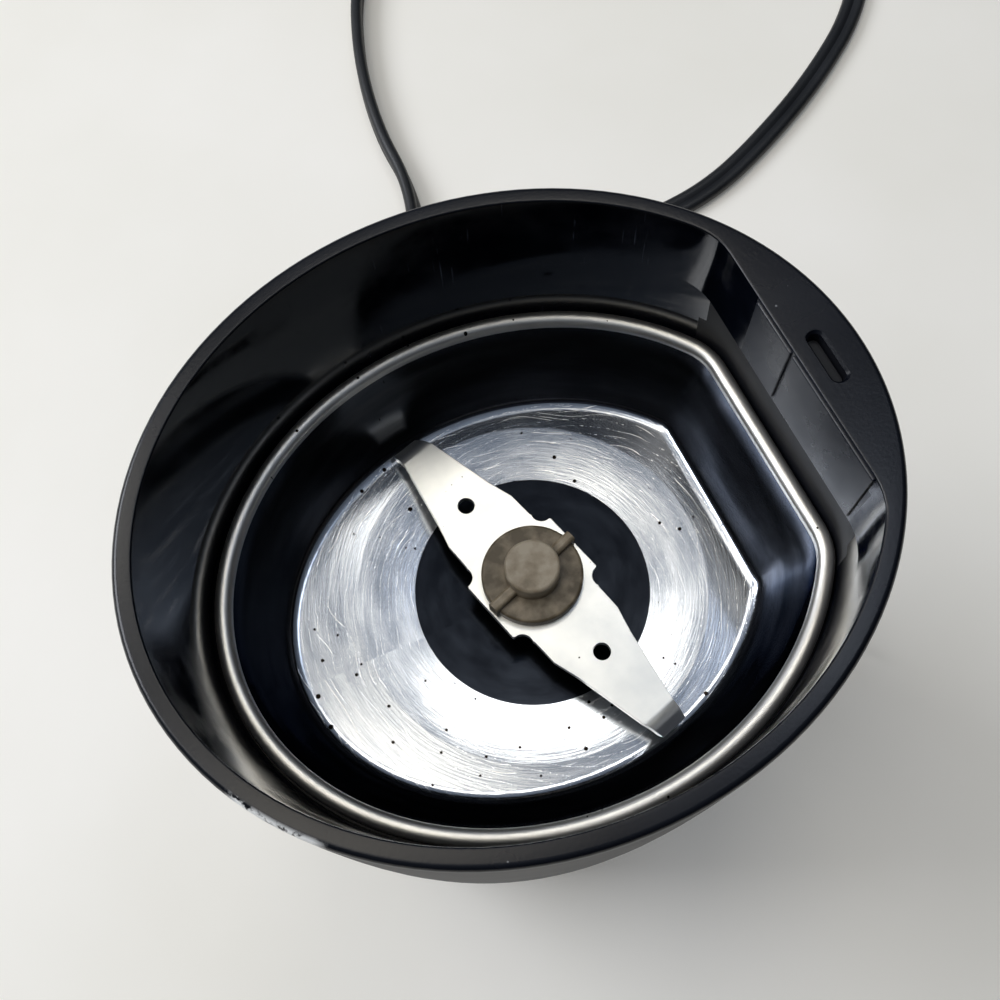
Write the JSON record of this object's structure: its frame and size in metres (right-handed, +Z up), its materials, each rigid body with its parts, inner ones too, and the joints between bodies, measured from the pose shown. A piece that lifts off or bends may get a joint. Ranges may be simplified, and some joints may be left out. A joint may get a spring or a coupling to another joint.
{
  "type": "electric spice grinder",
  "caption": "Oval electric spice grinder without its lid: steel bowl, spinning blade, motor, lid-operated switch and flat cord.",
  "frame": {"origin": "on the resting plane, under the centre of the oval rim", "axes": "+Z up along the motor shaft's direction, +X along the oval towards the deck with the lid switch, +Y towards the cord's exit"},
  "size_m": [0.2528, 0.312, 0.126],
  "materials": {
    "body_black": "satin outside and on the rim, polished inside the funnel",
    "bowl_steel": "drawn and polished, worn",
    "blade_steel": "satin, ground",
    "hub_taupe": "moulded, semi-matte",
    "rubber_black": "matte",
    "rubber_grey": "matte",
    "shaft_steel": "ground",
    "lamination": "stacked sheet",
    "copper": "enamelled wire and bare segments",
    "brass": "bright",
    "bronze": "sintered, matt",
    "carbon": "matte",
    "motor_plastic": "moulded",
    "fan_plastic": "moulded",
    "paper_blue": "moulded sleeve",
    "zinc_screw": "zinc plated",
    "spring_steel": "bright",
    "switch_plastic": "moulded",
    "switch_red": "moulded",
    "lead_sheath": "satin",
    "cord_sheath": "satin"
  },
  "bodies": {
    "root": {"housing": "body_black", "base_cover": "body_black", "grinding_bowl": "bowl_steel", "bowl_gasket": "rubber_black", "shaft_seal": "rubber_black", "feet": "rubber_grey", "motor_grommets": "rubber_grey", "strain_relief": "rubber_black", "stator_core": "lamination", "field_coil_left": "copper", "field_coil_right": "copper", "upper_bearing": "bronze", "lower_bearing": "bronze", "upper_bearing_clip": "spring_steel", "lower_bearing_clip": "spring_steel", "motor_plate": "motor_plastic", "lower_bracket": "motor_plastic", "brush_front": "carbon", "brush_rear": "carbon", "brush_holder_front": "brass", "brush_holder_rear": "brass", "brush_spring_front": "spring_steel", "brush_spring_rear": "spring_steel", "stator_screws": "zinc_screw", "motor_screws": "zinc_screw", "bracket_screws": "zinc_screw", "base_screws": "zinc_screw", "clamp_screws": "zinc_screw", "plunger_spring": "spring_steel", "switch_body": "switch_plastic", "switch_terminals": "brass", "switch_bracket": "motor_plastic", "cord_clamp": "motor_plastic", "cord_inside": "cord_sheath", "lead_wires": "lead_sheath", "power_cord": "cord_sheath", "cord_coil": "cord_sheath", "cord_tail": "cord_sheath", "plug_body": "cord_sheath", "plug_prongs": "brass"},
    "rotor": {"blade": "blade_steel", "blade_hub": "hub_taupe", "drive_shaft": "shaft_steel", "rotor_core": "lamination", "rotor_winding": "copper", "commutator": "copper", "cooling_fan": "fan_plastic", "shaft_spacers": "paper_blue"},
    "plunger": {"interlock_plunger": "body_black"},
    "lever": {"switch_lever": "spring_steel"},
    "button": {"switch_button": "switch_red"}
  },
  "joints": [
    {"name": "blade_spin", "type": "hinge", "parent": "root", "child": "rotor", "pos_m": [0.003, 0, 0.08], "axis": [0, 0, 1], "continuous": true},
    {"name": "plunger_slide", "type": "slide", "parent": "root", "child": "plunger", "axis": [0, 0, -1], "range_m": [0, 0.0025], "stiffness_N_per_m": 400, "springref_m": -0.003, "deforming": ["plunger_spring"]},
    {"name": "lever_tilt", "type": "hinge", "parent": "root", "child": "lever", "pos_m": [0.041, -0.0095, 0.0758], "axis": [-1, 0, 0], "range_deg": [0, 16.8]},
    {"name": "button_slide", "type": "slide", "parent": "root", "child": "button", "axis": [0, 0, -1], "range_m": [0, 0.00085]}
  ],
  "couplings": [
    {"joint": "lever_tilt", "follows": "plunger_slide", "rad_per_m": 116.9},
    {"joint": "button_slide", "follows": "plunger_slide", "ratio": 0.337}
  ]
}
